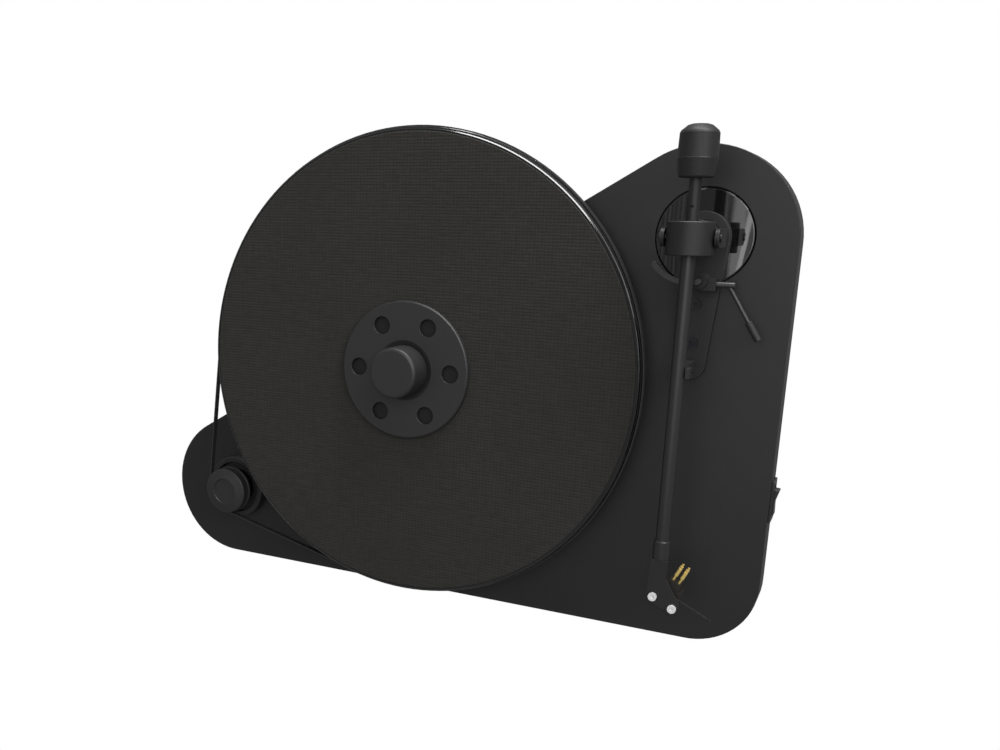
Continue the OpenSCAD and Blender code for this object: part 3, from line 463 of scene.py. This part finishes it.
def lamp(name, place, aim, size, watts, mirrored=True):
    """A rectangular lamp that looks at aim. mirrored says whether reflections see it."""
    data = bpy.data.lights.new(name, "AREA")
    data.shape = "RECTANGLE"
    data.size, data.size_y = size
    data.energy = watts
    holder = bpy.data.objects.new(name, data)
    SCENE.collection.objects.link(holder)
    holder.location = place
    holder.rotation_euler = (Vector(aim) - Vector(place)).to_track_quat("-Z", "Y").to_euler()
    holder.visible_camera = False
    holder.visible_glossy = mirrored


def surroundings(to_camera=1.0, to_gloss=0.28, to_rest=0.40):
    """White to the camera, dim to reflections and to diffuse light, so that black edges stay black."""
    world = bpy.data.worlds.new("surroundings")
    world.use_nodes = True
    SCENE.world = world
    nodes, wire = world.node_tree.nodes, world.node_tree.links.new
    path = nodes.new("ShaderNodeLightPath")
    base = to_rest
    for output, value in (("Is Glossy Ray", to_gloss), ("Is Camera Ray", to_camera)):
        choice = nodes.new("ShaderNodeMix")
        wire(path.outputs[output], choice.inputs[0])
        if isinstance(base, float):
            choice.inputs[2].default_value = base
        else:
            wire(base, choice.inputs[2])
        choice.inputs[3].default_value = value
        base = choice.outputs[0]
    back = nodes["Background"]
    back.inputs["Color"].default_value = (1, 1, 1, 1)
    wire(base, back.inputs["Strength"])


surroundings()
FLOOR_Z, FLOOR_HALF = -0.60, 6.0
flat("floor", [(x * FLOOR_HALF, y * FLOOR_HALF, FLOOR_Z) for x, y in ((-1, -1), (1, -1), (1, 1), (-1, 1))],
     lit("pale_floor", 1.0, 0.25))

# What the glossy disc under the arm mirrors: a dark room, with upright stripes of light in front of it
mirror_card("card_dark", (-0.20, 0.00), (0.03, 0.23), 0.16)
mirror_card("card_line", (-0.1150, 0.150), (-0.1115, 0.190), 2.6, 0.001)
mirror_card("card_thin_1", (-0.0622, 0.035), (-0.0600, 0.196), 0.9, 0.001)
mirror_card("card_thin_2", (-0.0508, 0.035), (-0.0490, 0.196), 1.1, 0.001)
mirror_card("card_grey", (-0.0480, 0.030), (-0.0290, 0.200), 1.3, 0.001)
mirror_card("card_bright", (-0.0380, 0.050), (-0.0300, 0.172), 2.6, 0.002, slant=0.0135)
mirror_card("card_right", (-0.0285, 0.030), (0.0200, 0.200), 0.5, 0.001)
mirror_card("card_right_line", (-0.0140, 0.030), (-0.0115, 0.200), 0.9, 0.002)
GRAINS, GRAINS_FROM, GRAIN_STEP, GRAIN_WIDTH = 7, -0.168, 0.0072, 0.0024
for k in range(GRAINS):
    left = GRAINS_FROM + GRAIN_STEP * k
    mirror_card("card_grain_%d" % k, (left, 0.03), (left + GRAIN_WIDTH, 0.20), 0.30 + 0.07 * (k % 3), 0.001)

lamp("front_box", (0.45, -2.1, 0.60), MIDDLE, (1.8, 1.5), 18)
lamp("top_box", (0.28, -0.15, 1.20), (0.02, -0.07, 0.15), (0.30, 1.15), 21)
lamp("right_box", (1.15, -0.95, 0.75), MIDDLE, (0.7, 0.9), 8)
lamp("back_box", (0.0, 2.0, 0.5), MIDDLE, (0.8, 0.8), 70, mirrored=False)

camera_data = bpy.data.cameras.new("camera")
camera_data.lens = LENS
camera_data.sensor_width = SENSOR
camera_data.shift_x, camera_data.shift_y = SHIFT
camera = bpy.data.objects.new("camera", camera_data)
SCENE.collection.objects.link(camera)

# The camera looks ahead. level and above are its right and up before the roll, side and up after it.
ahead = Vector((math.sin(YAW) * math.cos(PITCH), math.cos(YAW) * math.cos(PITCH), math.sin(PITCH)))
level = Vector((math.cos(YAW), -math.sin(YAW), 0))
above = level.cross(ahead)
side = level * math.cos(ROLL) + above * math.sin(ROLL)
up = above * math.cos(ROLL) - level * math.sin(ROLL)
camera.matrix_world = Matrix.Translation(EYE) @ Matrix((side, up, -ahead)).transposed().to_4x4()
SCENE.camera = camera
SCENE.view_settings.view_transform = "Standard"
